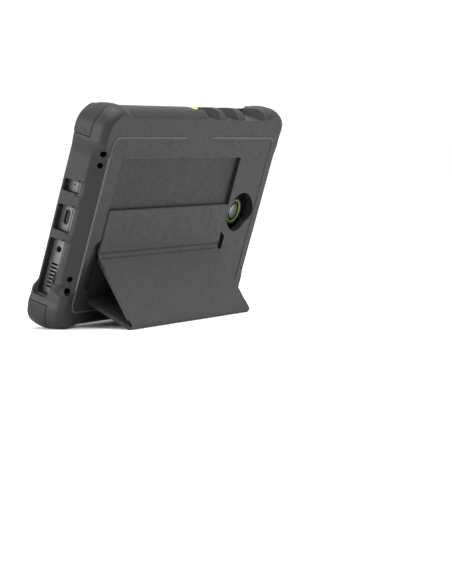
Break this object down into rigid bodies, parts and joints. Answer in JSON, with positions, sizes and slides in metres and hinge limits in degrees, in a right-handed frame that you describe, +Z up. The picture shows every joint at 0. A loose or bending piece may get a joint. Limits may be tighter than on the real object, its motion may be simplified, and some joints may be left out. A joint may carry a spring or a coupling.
{
  "type": "rugged tablet data collector",
  "caption": "Rugged survey tablet in a moulded rubber case with corner bumpers, standing in landscape on the case's fold-out leatherette stand.",
  "frame": {"origin": "on the floor, under the middle of the bounding box of the part as it stands", "axes": "+Z up, +X along the long side towards the end with the connectors, +Y out of the back, towards the stand; the screen faces -Y and up"},
  "size_m": [0.233, 0.0664, 0.1467],
  "materials": {
    "case_rubber": "matte dark grey moulded rubber",
    "stand_leatherette": "fine-grained dark grey leatherette",
    "pad_blue": "light blue impact gel",
    "liner_grey": "matte mid grey",
    "plate_dark": "matte dark grey",
    "tablet_plastic": "fine-textured dark grey",
    "glass": "glossy black",
    "accent_green": "satin yellow-green",
    "steel": "bright plated",
    "board_green": "solder mask",
    "battery_wrap": "matte black film",
    "black_plastic": "matte black"
  },
  "bodies": {
    "case": {"audio_jack": "black_plastic", "battery": "battery_wrap", "board_screw_1": "steel", "board_screw_2": "steel", "board_screw_3": "steel", "board_screw_4": "steel", "camera_ring": "accent_green", "camera_window": "glass", "case_liner": "liner_grey", "case_shell": "case_rubber", "centre_plate": "plate_dark", "connector_board": "board_green", "corner_bumper_lower_camera_end": "case_rubber", "corner_bumper_lower_port_end": "case_rubber", "corner_bumper_upper_camera_end": "case_rubber", "corner_bumper_upper_port_end": "case_rubber", "cover_gasket": "black_plastic", "display_panel": "black_plastic", "flash_lens": "glass", "front_camera": "black_plastic", "front_glass": "glass", "impact_pad_lower_camera_end": "pad_blue", "impact_pad_lower_port_end": "pad_blue", "impact_pad_upper_camera_end": "pad_blue", "impact_pad_upper_port_end": "pad_blue", "keeper_plate": "steel", "label_plate": "liner_grey", "loudspeaker": "black_plastic", "main_board": "board_green", "microphone": "steel", "rear_camera": "black_plastic", "stand_base": "stand_leatherette", "tablet_back_cover": "tablet_plastic", "tablet_frame": "tablet_plastic", "usb_socket": "steel", "usb_tongue": "black_plastic", "vibration_motor": "steel"},
    "strut": {"stand_strut": "stand_leatherette"},
    "leg": {"stand_leg": "stand_leatherette"},
    "flap": {"stand_flap": "stand_leatherette", "flap_magnet_1": "steel", "flap_magnet_2": "steel"},
    "home_key_cap": {"home_key": "black_plastic"},
    "recents_key_cap": {"recents_key": "black_plastic"},
    "back_key_cap": {"back_key": "black_plastic"},
    "function_key_cap": {"function_key": "accent_green"},
    "power_key_cap": {"power_key": "tablet_plastic"},
    "volume_rocker_cap": {"volume_rocker": "tablet_plastic"}
  },
  "joints": [
    {"name": "strut_fold", "type": "hinge", "parent": "case", "child": "strut", "pos_m": [0, -0.00461, 0.01908], "axis": [1, 0, 0], "range_deg": [0, 99.14]},
    {"name": "foot_fold", "type": "hinge", "parent": "strut", "child": "leg", "pos_m": [0, 0.02907, 0.00255], "axis": [1, 0, 0], "range_deg": [-146.81, 0]},
    {"name": "spine_fold", "type": "hinge", "parent": "leg", "child": "flap", "pos_m": [0, 0.00643, 0.04603], "axis": [1, 0, 0], "range_deg": [-132.39, 0]},
    {"name": "home_press", "type": "slide", "parent": "case", "child": "home_key_cap", "axis": [0, 0.9566, -0.2915], "range_m": [0, 0.0003], "stiffness_N_per_m": 4000},
    {"name": "recents_press", "type": "slide", "parent": "case", "child": "recents_key_cap", "axis": [0, 0.9566, -0.2915], "range_m": [0, 0.0003], "stiffness_N_per_m": 4000},
    {"name": "back_press", "type": "slide", "parent": "case", "child": "back_key_cap", "axis": [0, 0.9566, -0.2915], "range_m": [0, 0.0003], "stiffness_N_per_m": 4000},
    {"name": "function_press", "type": "slide", "parent": "case", "child": "function_key_cap", "axis": [0, -0.2915, -0.9566], "range_m": [0, 0.0004], "stiffness_N_per_m": 4000},
    {"name": "power_press", "type": "slide", "parent": "case", "child": "power_key_cap", "axis": [0, -0.2915, -0.9566], "range_m": [0, 0.0004], "stiffness_N_per_m": 4000},
    {"name": "volume_rock", "type": "hinge", "parent": "case", "child": "volume_rocker_cap", "pos_m": [-0.072, 0.01388, 0.13618], "axis": [0, 0.9566, -0.2915], "range_deg": [-1.5, 1.5], "stiffness_Nm_per_rad": 1}
  ],
  "couplings": [
    {"joint": "foot_fold", "follows": "strut_fold", "ratio": -1.4799},
    {"joint": "spine_fold", "follows": "strut_fold", "ratio": -1.3346}
  ]
}
